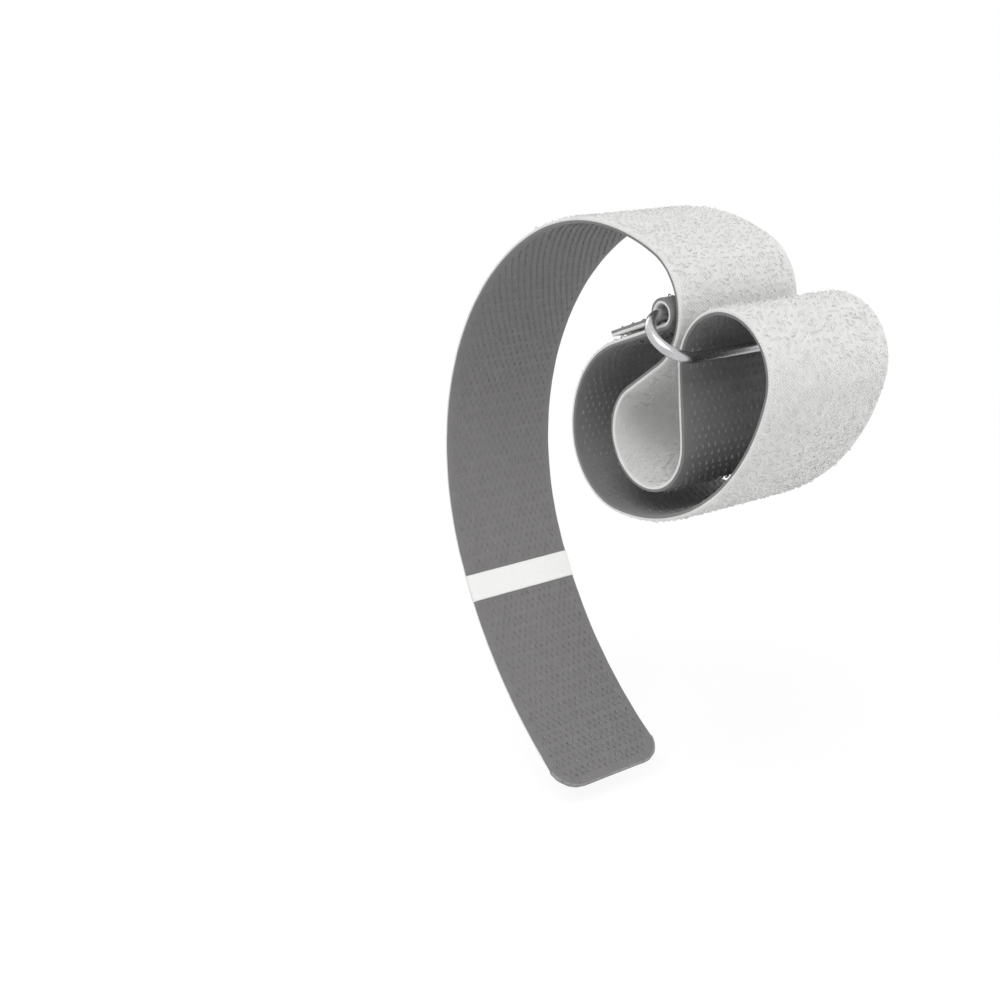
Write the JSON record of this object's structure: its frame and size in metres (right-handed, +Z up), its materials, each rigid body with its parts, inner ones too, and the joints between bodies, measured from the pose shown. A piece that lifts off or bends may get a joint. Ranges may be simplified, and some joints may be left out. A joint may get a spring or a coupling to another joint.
{
  "type": "hook and loop cable tie",
  "caption": "Hook and loop cable tie: a two-faced fabric strap looped through an oval wire ring, with a snug loop for one cable and a long free tail that wraps round the coiled cable.",
  "frame": {"origin": "axis of the cable seat, at the middle of the strap's width", "axes": "+X along the cable seat and across the strap, +Z up with the tail hanging down, +Y towards the tail"},
  "size_m": [0.0356, 0.092, 0.1082],
  "materials": {
    "loop_tape": "light grey brushed nylon loop pile",
    "hook_tape": "dark grey woven nylon",
    "hook_patch": "dark grey nylon hooks on woven tape",
    "marker_band": "white welded band",
    "eye_stitching": "dark grey sewing thread",
    "wire_ring": "bright zinc plated steel wire"
  },
  "bodies": {
    "strap": {"loop_tape": "loop_tape", "hook_tape": "hook_tape", "hook_patch": "hook_patch", "marker_band": "marker_band", "eye_stitching": "eye_stitching"},
    "ring": {"wire_ring": "wire_ring"}
  },
  "joints": [
    {"name": "ring_swing", "type": "hinge", "parent": "strap", "child": "ring", "pos_m": [0, -0.0055, 0.01979], "axis": [1, 0, 0], "range_deg": [-24, 9]}
  ]
}
